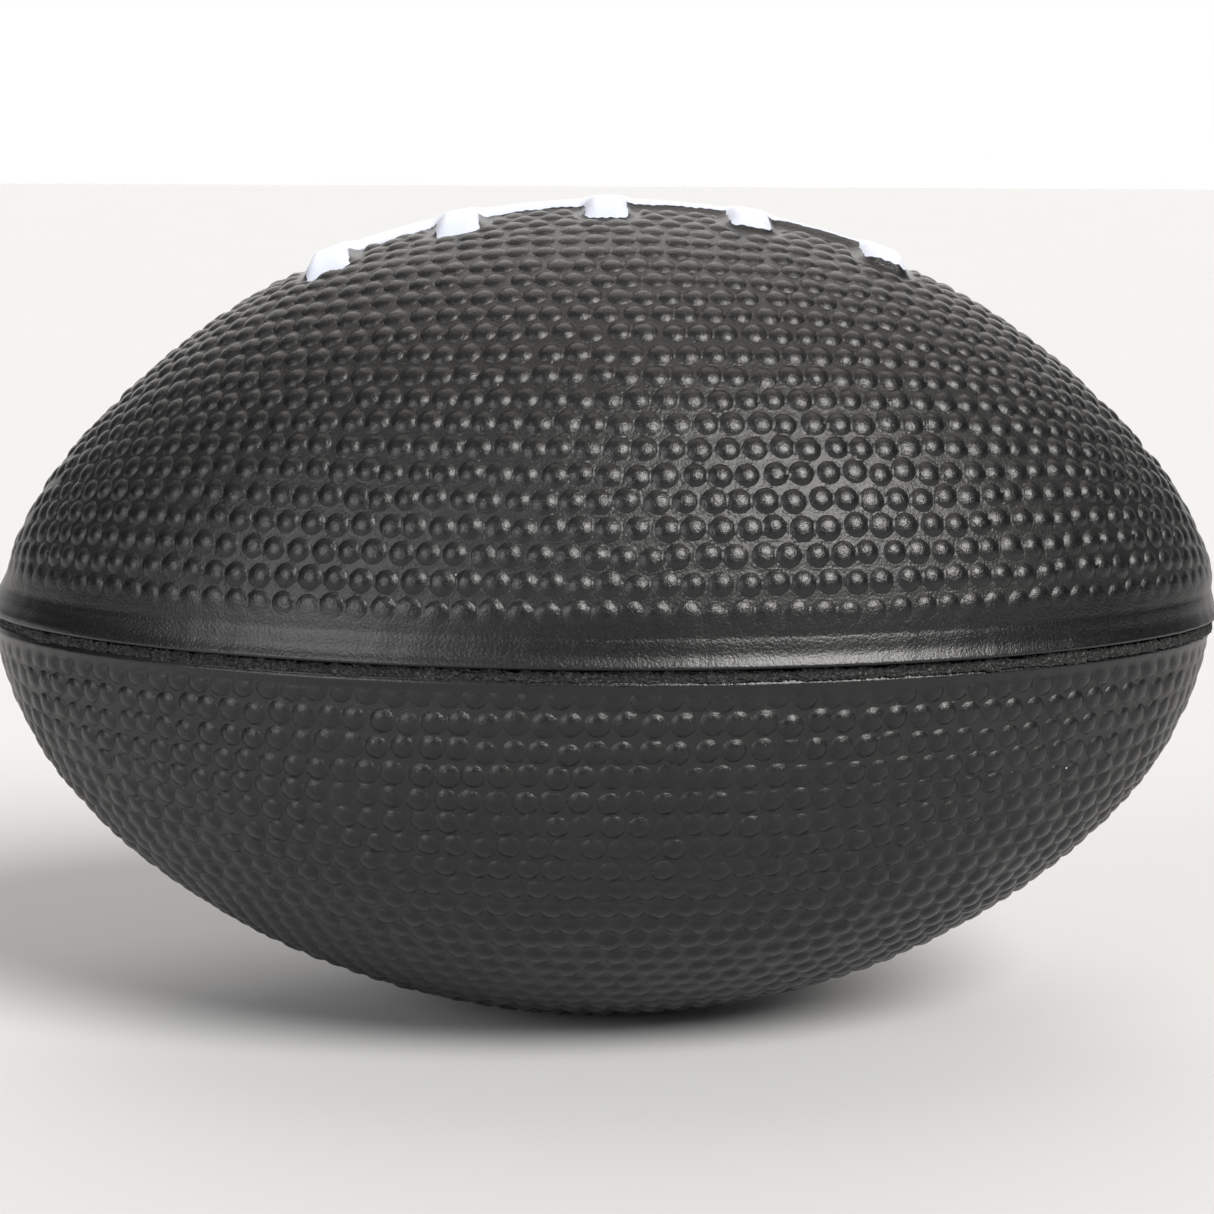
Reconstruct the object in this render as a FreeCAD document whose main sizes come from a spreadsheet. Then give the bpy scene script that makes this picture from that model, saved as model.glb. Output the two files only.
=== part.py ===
"""Moulded foam squeeze ball in the shape of an American football.

The ball is one polyurethane foam moulding from a two-part mould. It is built here as
its foam core, the dense upper and lower skins, the strip of flash trimmed along the
parting line, and the raised white lacing on the crest. The long axis lies along X, +Z is up,
and the origin is the point under the middle of the ball where it touches a table.
Sizes are in millimetres.
"""
import FreeCAD, Part
import math
import os

from FreeCAD import Vector

SHEET_NAME = "Sizes"
PARTS_FOLDER = "parts"

# Driving dimensions. Heights are measured from the ball's long axis, up or down as named.
SIZES = {
    "half_length": 44.5,       # tip to middle
    "ball_radius": 29.4,       # widest round section
    "outline_power": 0.61,     # radius = ball_radius * (1 - (x / half_length)^2) ^ outline_power
    "parting_drop": 0.9,       # parting plane, below the long axis
    "skin_depth": 1.2,         # dense skin over the softer core
    "flash_height": 0.65,      # trimmed flash between the two mould halves
    "flash_inset": 0.2,        # how far the trimmed flash lies inside the skin
    "bead_gap": 0.25,          # undercut between the flash and the rolled bead
    "bead_height": 1.5,        # rolled bead along the upper half's edge
    "bead_proud": 0.35,        # how far the bead stands out from the skin
    "lace_pitch": 10.1,        # spacing of the cross laces along the axis
    "lace_width": 2.9,         # a cross lace, along the axis
    "lace_span": 12.0,         # a cross lace, end to end across the crest
    "lace_height": 0.7,        # a cross lace above the skin
    "spine_width": 2.8,        # the long lace that joins them
    "spine_height": 0.35,      # the long lace above the skin
    "spine_overhang": 1.0,     # the long lace past the middle of the last cross laces
    "lace_skew": 1.9,          # the whole lacing turned about Z, in degrees
}
LACE_COUNT = 5
OUTLINE_STEPS = 24             # spline points from tip to tip, less one
CUTTER_REACH = 2               # half a cutting block's side, in half lengths of the ball
LACE_FOOT = 1.3                # foot of the blocks that cut the lacing, in ball radii
MESH_STEP = 0.1                # coarseness of the mesh that the printed sizes are read from
BEAD_LAYERS = [(0.3, 1.0), (0.8, 0.7), (1.0, 0.35)]  # shares of bead_proud and bead_height


def add_sheet(doc):
    """Puts every driving dimension in a spreadsheet cell with its name as alias."""
    sheet = doc.addObject("Spreadsheet::Sheet", SHEET_NAME)
    for row, (name, value) in enumerate(SIZES.items(), start=1):
        sheet.set(f"A{row}", name)
        sheet.set(f"B{row}", str(value))
        sheet.setAlias(f"B{row}", name)
    doc.recompute()
    return sheet


def bind(item, links):
    """Binds each property to an expression in which sheet names stand for cells."""
    for prop, expression in links.items():
        words = expression.split()
        item.setExpression(prop, " ".join(f"{SHEET_NAME}.{w}" if w in SIZES else w for w in words))


def outline_points(sheet, offset):
    """Points of the lemon-shaped outline from tip to tip, moved out by offset."""
    length = sheet.half_length + offset
    radius = sheet.ball_radius + offset
    points = []
    for step in range(OUTLINE_STEPS + 1):
        turn = math.pi * (step / OUTLINE_STEPS - 0.5)
        share = max(math.cos(turn), 0.0) ** (2 * sheet.outline_power)
        points.append((length * math.sin(turn), radius * share))
    return points


def outline_curve(sheet, offset):
    """The outline as one open spline from tip to tip, on the upper side of a sketch."""
    curve = Part.BSplineCurve()
    curve.interpolate([Vector(x, radius, 0) for x, radius in outline_points(sheet, offset)])
    return curve


def planform_curve(sheet, offset):
    """The outline as one closed spline that goes round both sides."""
    near = outline_points(sheet, offset)
    loop = near + [(x, -radius) for x, radius in reversed(near[1:-1])]
    curve = Part.BSplineCurve()
    curve.interpolate([Vector(x, y, 0) for x, y in loop], True)
    return curve


def straight(start, end):
    """A straight sketch line along the long axis."""
    return Part.LineSegment(Vector(start, 0, 0), Vector(end, 0, 0))


def add_body(doc, name):
    """An empty body whose own X axis is the ball's long axis."""
    body = doc.addObject("PartDesign::Body", name)
    body.Label = name
    bind(body, {"Placement.Base.z": "ball_radius"})
    return body


def add_sketch(body, name, plane, height=None):
    """A sketch on one of the body's own origin planes, raised by the height expression."""
    sketch = body.newObject("Sketcher::SketchObject", name)
    base = next(feature for feature in body.Origin.OriginFeatures if feature.Role == plane)
    sketch.AttachmentSupport = [(base, "")]
    sketch.MapMode = "FlatFace"
    if height:
        bind(sketch, {".AttachmentOffset.Base.z": height})
    return sketch


def revolve(body, sketch, name):
    """Turns a sketch right round the long axis."""
    feature = body.newObject("PartDesign::Revolution", name)
    feature.Profile = sketch
    feature.ReferenceAxis = (sketch, ["H_Axis"])
    feature.Angle = 360
    return feature


def cut_block(body, sheet, name, height, upwards):
    """Removes everything above, or below, a level plane of the body."""
    sketch = add_sketch(body, f"{name}_sketch", "XY_Plane", height)
    reach = CUTTER_REACH * sheet.half_length
    signs = [(-1, -1), (1, -1), (1, 1), (-1, 1)]
    corners = [Vector(along * reach, across * reach, 0) for along, across in signs]
    for start, end in zip(corners, corners[1:] + corners[:1]):
        sketch.addGeometry(Part.LineSegment(start, end))
    pocket = body.newObject("PartDesign::Pocket", name)
    pocket.Profile = sketch
    pocket.Reversed = upwards
    bind(pocket, {"Length": "2 * ball_radius"})
    return pocket


def add_ring(body, sheet, name, outer, inner, height, depth):
    """A level ring that follows the outline, between two offsets from it."""
    sketch = add_sketch(body, f"{name}_sketch", "XY_Plane", height)
    for edge in (outer, inner):
        sketch.addGeometry(planform_curve(sheet, edge))
    pad = body.newObject("PartDesign::Pad", name)
    pad.Profile = sketch
    bind(pad, {"Length": depth})
    return pad


def shell_body(doc, sheet, name):
    """A body holding the whole skin, turned from the band between skin and core."""
    body = add_body(doc, name)
    sketch = add_sketch(body, f"{name}_section", "XZ_Plane")
    tip = sheet.half_length
    inner_tip = tip - sheet.skin_depth
    sketch.addGeometry(outline_curve(sheet, 0))
    sketch.addGeometry(outline_curve(sheet, -sheet.skin_depth))
    sketch.addGeometry(straight(-tip, -inner_tip))
    sketch.addGeometry(straight(inner_tip, tip))
    revolve(body, sketch, f"{name}_turned")
    return body


def build_core(doc, sheet):
    """The soft foam inside the skins."""
    body = add_body(doc, "foam_core")
    sketch = add_sketch(body, "foam_core_section", "XZ_Plane")
    tip = sheet.half_length - sheet.skin_depth
    sketch.addGeometry(outline_curve(sheet, -sheet.skin_depth))
    sketch.addGeometry(straight(-tip, tip))
    revolve(body, sketch, "foam_core_turned")
    return body


def build_lower_skin(doc, sheet):
    """The skin below the parting plane."""
    body = shell_body(doc, sheet, "lower_skin")
    body.Tip = cut_block(body, sheet, "lower_trim", "-1 * parting_drop", True)
    return body


def build_upper_skin(doc, sheet):
    """The skin above the flash, with the rolled bead along its lower edge."""
    body = shell_body(doc, sheet, "upper_skin")
    body.Tip = cut_block(body, sheet, "upper_trim", "flash_height - parting_drop", False)
    bead_foot = "flash_height + bead_gap - parting_drop"
    for number, (reach, depth) in enumerate(BEAD_LAYERS, start=1):
        height = f"{bead_foot} + {(1 - depth) / 2} * bead_height"
        outer = reach * sheet.bead_proud
        inner = -depth * sheet.skin_depth / 2
        name = f"bead_layer_{number}"
        thickness = f"{depth} * bead_height"
        body.Tip = add_ring(body, sheet, name, outer, inner, height, thickness)
    return body


def build_flash(doc, sheet):
    """The thin strip of open foam left where the flash was trimmed off."""
    body = add_body(doc, "parting_flash")
    outer = -sheet.flash_inset
    inner = -sheet.skin_depth
    foot = "-1 * parting_drop"
    body.Tip = add_ring(body, sheet, "flash_ring", outer, inner, foot, "flash_height")
    return body


def add_blank(doc, sheet, name, offset):
    """A solid of the ball's outline moved out by offset, to cut lacing from."""
    sketch = doc.addObject("Sketcher::SketchObject", f"{name}_section")
    sketch.Placement = FreeCAD.Placement(Vector(0, 0, 0), FreeCAD.Rotation(Vector(1, 0, 0), 90))
    tip = sheet.half_length + offset
    sketch.addGeometry(outline_curve(sheet, offset))
    sketch.addGeometry(straight(-tip, tip))
    blank = doc.addObject("Part::Revolution", name)
    blank.Source = sketch
    blank.Axis = Vector(1, 0, 0)
    blank.Base = Vector(0, 0, 0)
    blank.Angle = 360
    blank.Solid = True
    bind(blank, {"Placement.Base.z": "ball_radius"})
    return blank


def add_block(doc, name, length, width, middle):
    """A block over the crest, turned with the lacing; middle is its place along the lacing."""
    block = doc.addObject("Part::Box", name)
    block.Placement = FreeCAD.Placement(Vector(0, 0, 0), FreeCAD.Rotation(Vector(0, 0, 1), 1))
    start = f"( {middle} - 0.5 * ( {length} ) )"
    bind(block, {
        "Length": length,
        "Width": width,
        "Height": "ball_radius + lace_height",
        "Placement.Rotation.Angle": "lace_skew",
        "Placement.Base.x": f"{start} * cos( lace_skew ) + 0.5 * {width} * sin( lace_skew )",
        "Placement.Base.y": f"{start} * sin( lace_skew ) - 0.5 * {width} * cos( lace_skew )",
        "Placement.Base.z": f"{LACE_FOOT} * ball_radius",
    })
    return block


def add_boolean(doc, kind, name, base, tool):
    """A Part::Cut or Part::Common of two objects."""
    result = doc.addObject(kind, name)
    result.Label = name
    result.Base = base
    result.Tool = tool
    return result


def build_laces(doc, sheet):
    """The long lace and the cross laces over it, each a raised pad that hugs the skin."""
    skin_blank = add_blank(doc, sheet, "skin_blank", 0)
    spine_blank = add_blank(doc, sheet, "spine_blank", sheet.spine_height)
    lace_blank = add_blank(doc, sheet, "lace_blank", sheet.lace_height)
    reach = f"{LACE_COUNT - 1} * lace_pitch + 2 * spine_overhang"
    spine_block = add_block(doc, "spine_block", reach, "spine_width", "0")
    spine_solid = add_boolean(doc, "Part::Common", "spine_solid", spine_blank, spine_block)
    spine = add_boolean(doc, "Part::Cut", "lace_spine", spine_solid, skin_blank)
    made = [spine]
    for number in range(1, LACE_COUNT + 1):
        place = number - (LACE_COUNT + 1) / 2
        block = add_block(doc, f"lace_block_{number}", "lace_width", "lace_span", f"{place} * lace_pitch")
        pad = add_boolean(doc, "Part::Common", f"lace_pad_{number}", lace_blank, block)
        raised = add_boolean(doc, "Part::Cut", f"lace_raised_{number}", pad, skin_blank)
        lace = add_boolean(doc, "Part::Cut", f"cross_lace_{number}", raised, spine)
        made.append(lace)
    return made


def check(doc, made):
    """Stops unless every object is sound and every sub-part is a valid, non-empty shape."""
    bad = [item.Name for item in doc.Objects if "Invalid" in item.State or "Error" in item.State]
    if bad:
        raise RuntimeError(f"failed objects: {bad}")
    for item in made:
        shape = item.Shape
        if shape.isNull() or not shape.isValid() or not shape.Solids:
            raise RuntimeError(f"{item.Label} has no valid solid")
        points, _ = shape.tessellate(MESH_STEP)
        spans = [f"{axis} {min(v):.2f}..{max(v):.2f}" for axis, v in zip("xyz", zip(*points))]
        print(f"{item.Label}: {len(shape.Solids)} solid(s), {shape.Volume:.1f} mm3, {', '.join(spans)}")


def main():
    doc = FreeCAD.newDocument("foam_football")
    sheet = add_sheet(doc)
    made = [
        build_core(doc, sheet),
        build_lower_skin(doc, sheet),
        build_upper_skin(doc, sheet),
        build_flash(doc, sheet),
    ]
    made += build_laces(doc, sheet)
    doc.recompute()
    check(doc, made)
    os.makedirs(PARTS_FOLDER, exist_ok=True)
    for item in made:
        item.Shape.exportStep(os.path.join(PARTS_FOLDER, f"{item.Label}.step"))


main()
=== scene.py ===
"""The looks of a moulded foam squeeze ball shaped like an American football.

The ball came out of a two-part mould. Both halves are pebbled: the upper one ends in a
rolled bead that overhangs a thin strip of trimmed flash, and the lower one in a thin lip.
The lacing is raised in the foam of the crest and painted white. Every size below is in
millimetres unless its name says otherwise, and meshes are written in metres.
"""

import logging
import math
from dataclasses import dataclass, field
from enum import Enum

import bpy
import numpy as np
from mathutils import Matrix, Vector
from mathutils.kdtree import KDTree


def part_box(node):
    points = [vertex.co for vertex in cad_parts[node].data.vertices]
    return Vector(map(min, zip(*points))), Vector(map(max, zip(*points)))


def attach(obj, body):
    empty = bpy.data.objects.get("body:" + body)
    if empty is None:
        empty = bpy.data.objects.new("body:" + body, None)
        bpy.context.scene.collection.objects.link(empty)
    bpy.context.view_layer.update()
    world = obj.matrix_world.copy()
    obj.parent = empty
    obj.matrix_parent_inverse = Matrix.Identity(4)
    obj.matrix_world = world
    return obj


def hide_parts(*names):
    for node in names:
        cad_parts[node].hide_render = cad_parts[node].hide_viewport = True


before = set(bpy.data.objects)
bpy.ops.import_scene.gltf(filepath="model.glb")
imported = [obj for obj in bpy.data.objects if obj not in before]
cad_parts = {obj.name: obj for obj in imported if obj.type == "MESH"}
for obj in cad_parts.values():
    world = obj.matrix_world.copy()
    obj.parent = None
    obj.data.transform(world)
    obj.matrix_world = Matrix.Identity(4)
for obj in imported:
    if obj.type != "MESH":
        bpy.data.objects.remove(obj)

Array = np.ndarray
Colour = tuple[float, float, float]
Layout = tuple[Array, Array, Array]
Material = bpy.types.Material
Piece = bpy.types.Object
Socket = bpy.types.NodeSocket
Span = tuple[float, float]

LOG = logging.getLogger("foam_football")
MM = 0.001
BODY = "root"
UP = np.array([0.0, 0.0, 1.0])
ALONG = np.array([1.0, 0.0, 0.0])
QUARTER = math.pi / 2
TIP_CROWDING = (4.0, 0.25)  # how the points of a long loop crowd at the tips: a zone and a share

PEBBLE_HEIGHT = 0.27
MOULD_SHIFTS = (0.3, -0.25)  # how far each half sits along the ball against the other
UPPER_EDGE = (
    (0.45, -1.15), (0.7, -0.9), (0.82, -0.45), (0.9, -0.02), (0.98, 0.14), (1.06, 0.17), (1.2, 0.12),
    (1.35, 0.055), (1.5, -0.01), (1.65, -0.065), (1.85, -0.12), (2.1, -0.16), (2.4, -0.19), (2.7, -0.225),
    (2.95, -0.275), (3.15, -0.285), (3.6, -0.275), (4.3, -PEBBLE_HEIGHT),
)
LOWER_EDGE = ((0.0, -0.27), (0.12, -0.17), (0.25, -0.14), (0.4, -0.17), (0.55, -0.21), (0.8, -PEBBLE_HEIGHT))


class Half(Enum):
    """Which half of the mould a piece came from; the value is the sign of its height."""

    UPPER = 1
    LOWER = -1


class Side(Enum):
    """Which side of the long axis a piece lies on; the value is the sign of its Y."""

    FRONT = -1
    BACK = 1


# --- small tools ---


def ease(low: float, high: float, value: Array) -> Array:
    """A smooth step from 0 where the value is low to 1 where it is high."""
    share = np.clip((value - low) / (high - low), 0.0, 1.0)
    return share * share * (3 - 2 * share)


def unit(vectors: Array) -> Array:
    """Scales every row to length 1."""
    return vectors / np.maximum(np.linalg.norm(vectors, axis=-1, keepdims=True), 1e-12)


def flat_part(direction: Array, normals: Array) -> Array:
    """The part of a direction that lies in a surface with these unit normals."""
    along = np.sum(direction * normals, axis=-1, keepdims=True)
    return direction - along * normals


def walked(line: Array) -> Array:
    """How far each point lies along a line of points."""
    return np.concatenate([[0.0], np.cumsum(np.linalg.norm(np.diff(line, axis=0), axis=1))])


def picked(line: Array, walk: Array, stops: Array) -> Array:
    """The points of a line at chosen distances along it."""
    return np.stack([np.interp(stops, walk, axis) for axis in line.T], axis=-1)


def numbered(rows: int, columns: int) -> Array:
    """A table of vertex numbers, counted along its rows."""
    return np.arange(rows * columns).reshape(rows, columns)


def grid_quads(numbers: Array) -> Array:
    """Quads between the neighbours of a table of vertex numbers."""
    corners = [numbers[:-1, :-1], numbers[1:, :-1], numbers[1:, 1:], numbers[:-1, 1:]]
    return np.stack(corners, axis=-1).reshape(-1, 4)


def make_piece(name: str, points: Array, quads: Array, normals: Array | None = None) -> Piece:
    """Makes a smooth mesh object and links it to the scene.

    Args:
        name: The piece's name.
        points: Vertex positions in millimetres.
        quads: Four vertex numbers for each quad.
        normals: A shading normal for each vertex, where the surface is finer than the mesh.

    Returns:
        The new object.
    """
    mesh = bpy.data.meshes.new(name)
    mesh.vertices.add(len(points))
    mesh.vertices.foreach_set("co", (points * MM).astype(np.float32).ravel())
    mesh.loops.add(quads.size)
    mesh.loops.foreach_set("vertex_index", quads.astype(np.int32).ravel())
    mesh.polygons.add(len(quads))
    mesh.polygons.foreach_set("loop_start", np.arange(0, quads.size, 4, dtype=np.int32))
    mesh.update(calc_edges=True)
    mesh.shade_smooth()
    if normals is not None:
        mesh.normals_split_custom_set_from_vertices(normals.astype(np.float32))
    piece = bpy.data.objects.new(name, mesh)
    bpy.context.scene.collection.objects.link(piece)
    return piece


def add_values(piece: Piece, name: str, values: Array) -> None:
    """Stores one number for each vertex of a piece, for its finish to read by name."""
    attribute = piece.data.attributes.new(name, "FLOAT", "POINT")
    attribute.data.foreach_set("value", values.astype(np.float32).ravel())


def declare(piece: Piece, finish: Material, node: str) -> None:
    """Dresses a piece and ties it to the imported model.

    Args:
        piece: The piece.
        finish: Its material.
        node: The CAD node that it stands for.
    """
    piece.data.materials.append(finish)
    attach(piece, BODY)
    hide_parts(node)
    LOG.info("%s: %d faces", piece.name, len(piece.data.polygons))


# --- the ball's form ---


@dataclass(frozen=True)
class BallForm:
    """The lemon-shaped outline of both halves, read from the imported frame.

    A point of the surface is given by its place x on the long axis and its angle round it,
    which is 0 at the height of the axis, positive above it and a quarter turn on the crest.
    """

    half_length: float
    radius: float
    axis: float
    parting: float
    flash_top: float
    power: float = 0.61
    tip_fullness: float = 0.14
    tip_reach: float = 0.45
    lower_slimness: float = 0.012
    shoulder_place: float = 40.0
    shoulder_spread: float = 9.0
    left_shoulder: float = 0.070
    right_shoulder: float = 0.045
    search_from: float = 0.9
    search_points: int = 20001
    arc_points: int = 40001

    @classmethod
    def from_frame(cls) -> "BallForm":
        """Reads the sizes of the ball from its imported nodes.

        Returns:
            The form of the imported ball.
        """
        lower_low, lower_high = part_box("lower_skin")
        upper_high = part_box("upper_skin")[1]
        core_low, core_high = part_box("foam_core")
        skin_depth = core_low.z - lower_low.z
        return cls(
            half_length=(core_high.x + skin_depth) / MM,
            radius=(upper_high.z - lower_low.z) / 2 / MM,
            axis=(upper_high.z + lower_low.z) / 2 / MM,
            parting=lower_high.z / MM,
            flash_top=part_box("parting_flash")[1].z / MM,
        )

    @property
    def drop(self) -> float:
        """How far the parting plane lies below the long axis."""
        return self.axis - self.parting

    def section(self, x: Array) -> tuple[Array, Array]:
        """The radius of the round section at x, and its slope along the axis.

        Args:
            x: Places on the long axis.

        Returns:
            The radii and their slopes.
        """
        left = np.clip(1 - (x / self.half_length) ** 2, 1e-9, 1.0)
        reach = self.tip_reach**2
        swell = self.tip_fullness * np.exp(-left / reach)
        radius = self.radius * left**self.power * (1 + swell)
        growth = radius * (self.power / left - swell / (reach * (1 + swell)))
        return radius, growth * -2 * x / self.half_length**2

    def level_angle(self, x: Array, height: float) -> Array:
        """The angle at which the surface at x is at a height above the parting plane."""
        return np.arcsin(np.clip((height - self.drop) / self.section(x)[0], -1.0, 1.0))

    def reach(self, half: Half) -> float:
        """Where on the long axis a half comes to its point.

        Args:
            half: The half of the mould.

        Returns:
            The place, right of the middle.
        """
        if half is Half.UPPER:
            return self.half_length
        x = np.linspace(self.search_from * self.half_length, self.half_length, self.search_points)
        return float(x[np.argmax(self.section(x)[0] < self.drop)])

    def stations(self, reach: float, count: int, tip_zone: float, tip_share: float) -> Array:
        """Places on the axis that are evenly spread along the outline, closer at the tips.

        Args:
            reach: How far the places go each way.
            count: How many places there are.
            tip_zone: The length of outline, at each tip, where they lie closer.
            tip_share: How much closer they lie there, as a share.

        Returns:
            The places, from the left tip to the right one.
        """
        x = reach * np.sin(np.linspace(-QUARTER, QUARTER, self.arc_points))
        radius = self.section(x)[0]
        arc = np.concatenate([[0.0], np.cumsum(np.hypot(np.diff(x), np.diff(radius)))])
        from_tip = np.minimum(arc, arc[-1] - arc)
        density = 1 + (1 / tip_share - 1) * np.exp(-((from_tip / tip_zone) ** 2))
        weight = np.concatenate([[0.0], np.cumsum(np.diff(arc) * density[1:])])
        return np.interp(np.linspace(0, weight[-1], count), weight, x)

    def surface(self, x: Array, angle: Array, side: Side, half: Half) -> tuple[Array, Array]:
        """Points and unit normals of the outline's surface.

        Args:
            x: Places on the long axis.
            angle: Angles round it.
            side: The side of the ball.
            half: The half of the mould.

        Returns:
            The points and the normals.
        """
        radius, slope = self.section(x)
        level, lift = np.cos(angle), np.sin(angle)
        if half is Half.LOWER:
            radius = radius * (1 - self.lower_slimness * level**2)
        else:
            amount = np.where(x < 0, self.left_shoulder, self.right_shoulder)
            near = np.exp(-(((np.abs(x) - self.shoulder_place) / self.shoulder_spread) ** 2))
            radius = radius * (1 - amount * near * lift**2)
        x, slope = np.broadcast_to(x, angle.shape), np.broadcast_to(slope, angle.shape)
        points = np.stack([x, side.value * radius * level, self.axis + radius * lift], axis=-1)
        normals = np.stack([-slope, side.value * level, lift], axis=-1)
        return points, unit(normals)


@dataclass(frozen=True)
class Wander:
    """Slow unevenness of a surface, as a sum of sine waves that run in all directions."""

    amount: float
    shortest: float
    longest: float
    seed: int
    waves: int = 14

    def at(self, points: Array) -> tuple[Array, Array]:
        """The unevenness and its gradient.

        Args:
            points: Places in space.

        Returns:
            The height at each place, and the gradient of the height.
        """
        draw = np.random.default_rng(self.seed)
        height = np.zeros(points.shape[:-1])
        gradient = np.zeros(points.shape)
        share = self.amount * math.sqrt(2 / self.waves)
        for _ in range(self.waves):
            length = math.exp(draw.uniform(math.log(self.shortest), math.log(self.longest)))
            wave = unit(draw.normal(size=3)) * 2 * math.pi / length
            turn = points @ wave + draw.uniform(0, 2 * math.pi)
            height += share * np.sin(turn)
            gradient += share * np.cos(turn)[..., None] * wave
        return height, gradient


@dataclass(frozen=True)
class EdgeProfile:
    """How a skin's surface stands in or out along its moulded edge.

    Each stop is a distance from the parting plane and how far the surface stands out there
    from the tops of the pebbles.
    """

    stops: tuple[Span, ...]
    softness: float = 0.05
    step: float = 0.01

    def table(self) -> tuple[Array, Array]:
        """Samples the softened profile.

        Returns:
            Distances from the parting plane, and the offset at each.
        """
        distances, offsets = np.array(self.stops).T
        margin = 4 * self.softness
        fine = np.arange(distances[0] - margin, distances[-1] + margin, self.step)
        reach = np.arange(-margin, margin + self.step / 2, self.step)
        kernel = np.exp(-0.5 * (reach / self.softness) ** 2)
        padded = np.interp(np.arange(fine[0] - margin, fine[-1] + margin, self.step), distances, offsets)
        soft = np.convolve(padded, kernel / kernel.sum(), mode="same")
        return fine, soft[len(reach) // 2 :][: len(fine)]

    def at(self, distance: Array) -> tuple[Array, Array]:
        """The offset and its slope at distances from the parting plane."""
        fine, soft = self.table()
        return np.interp(distance, fine, soft), np.interp(distance, fine, np.gradient(soft, self.step))


# --- surface relief ---


@dataclass(frozen=True)
class LaceRelief:
    """The raised lacing on the crest: a long ridge and the mounds that cross it.

    It is laid out from above: along the ball is X, and across it is Y.
    """

    axis: float
    pitch: float
    count: int
    bar_top: float
    ridge_top: float
    slip: float = -0.25
    strays: tuple[float, ...] = (0.4, -0.5, -0.1, -0.05, -0.6)
    bar_half_width: float = 2.15
    bar_half_length: float = 6.4
    ridge_half_width: float = 1.95
    rounding: float = 0.09
    bar_slope: float = 1.5
    ridge_slope: float = 1.4
    corner: float = 1.5
    bare_rim: float = 0.1
    clearing: float = 0.45
    nudge: float = 0.02

    @classmethod
    def from_frame(cls, form: BallForm) -> "LaceRelief":
        """Reads the lacing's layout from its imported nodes.

        Args:
            form: The ball's form.

        Returns:
            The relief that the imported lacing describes.
        """
        names = sorted(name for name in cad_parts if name.startswith("cross_lace_"))
        middles = [sum(corner.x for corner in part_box(name)) / 2 / MM for name in names]
        highest = max(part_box(name)[1].z for name in names) / MM
        crest = form.axis + form.radius
        return cls(
            axis=form.axis,
            pitch=(middles[-1] - middles[0]) / (len(names) - 1),
            count=len(names),
            bar_top=highest - crest,
            ridge_top=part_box("lace_spine")[1].z / MM - crest,
        )

    @property
    def middles(self) -> list[float]:
        """The place of each cross lace along the ball."""
        first = self.slip - self.pitch * (self.count - 1) / 2
        strays = self.strays[: self.count]
        return [first + number * self.pitch + stray for number, stray in enumerate(strays)]

    def edge_distance(self, along: Array, across: Array, half_width: float, half_length: float) -> Array:
        """The distance to the edge of a bar with round corners, below 0 inside it.

        Args:
            along: Distance from the bar's middle along the ball.
            across: Distance from the bar's middle across the ball.
            half_width: Half the bar's size along the ball.
            half_length: Half the bar's size across the ball.

        Returns:
            The distances.
        """
        out_x = np.abs(along) - half_width + self.corner
        out_y = np.abs(across) - half_length + self.corner
        outside = np.hypot(np.maximum(out_x, 0), np.maximum(out_y, 0))
        return outside + np.minimum(np.maximum(out_x, out_y), 0) - self.corner

    def ridge_distance(self, x: Array, y: Array) -> Array:
        """The distance to the edge of the long ridge, below 0 inside it."""
        reach = self.middles[-1] - self.slip + self.bar_half_width
        return self.edge_distance(x - self.slip, y, reach, self.ridge_half_width)

    def bar_distance(self, x: Array, y: Array) -> Array:
        """The distance to the edge of the nearest cross lace, below 0 inside it."""
        size = self.bar_half_width, self.bar_half_length
        return np.min([self.edge_distance(x - middle, y, *size) for middle in self.middles], axis=0)

    def height(self, x: Array, y: Array, foot: float) -> Array:
        """How far the relief stands above the foot of the pebbles.

        Args:
            x: Places along the ball.
            y: Places across the ball.
            foot: How far the foot of the pebbles lies below their tops.

        Returns:
            The heights.
        """
        bar = ease(0.0, -self.bar_slope, self.bar_distance(x, y))
        ridge = ease(0.0, -self.ridge_slope, self.ridge_distance(x, y))
        return (self.bar_top - self.rounding + foot) * bar + (self.ridge_top + foot) * ridge * (1 - bar)

    def height_and_gradient(self, points: Array, foot: float) -> tuple[Array, Array]:
        """The relief's height at points of the surface, and its gradient.

        Args:
            points: Places on the surface.
            foot: How far the foot of the pebbles lies below their tops.

        Returns:
            The heights and their gradients.
        """
        x, y = points[..., 0], points[..., 1]
        here = self.height(x, y, foot)
        rise_x = self.height(x + self.nudge, y, foot) - self.height(x - self.nudge, y, foot)
        rise_y = self.height(x, y + self.nudge, foot) - self.height(x, y - self.nudge, foot)
        gradient = np.stack([rise_x, rise_y, np.zeros_like(here)], axis=-1) / (2 * self.nudge)
        on_top = (points[..., 2] > self.axis) & (here > 0)
        return np.where(on_top, here, 0.0), gradient * on_top[..., None]

    def clear_of(self, x: Array, y: Array) -> Array:
        """The share of a pebble's height that is left near the lacing, from 0 to 1."""
        nearest = np.minimum(self.bar_distance(x, y), self.ridge_distance(x, y))
        return ease(self.bare_rim, self.clearing, nearest)


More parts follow.
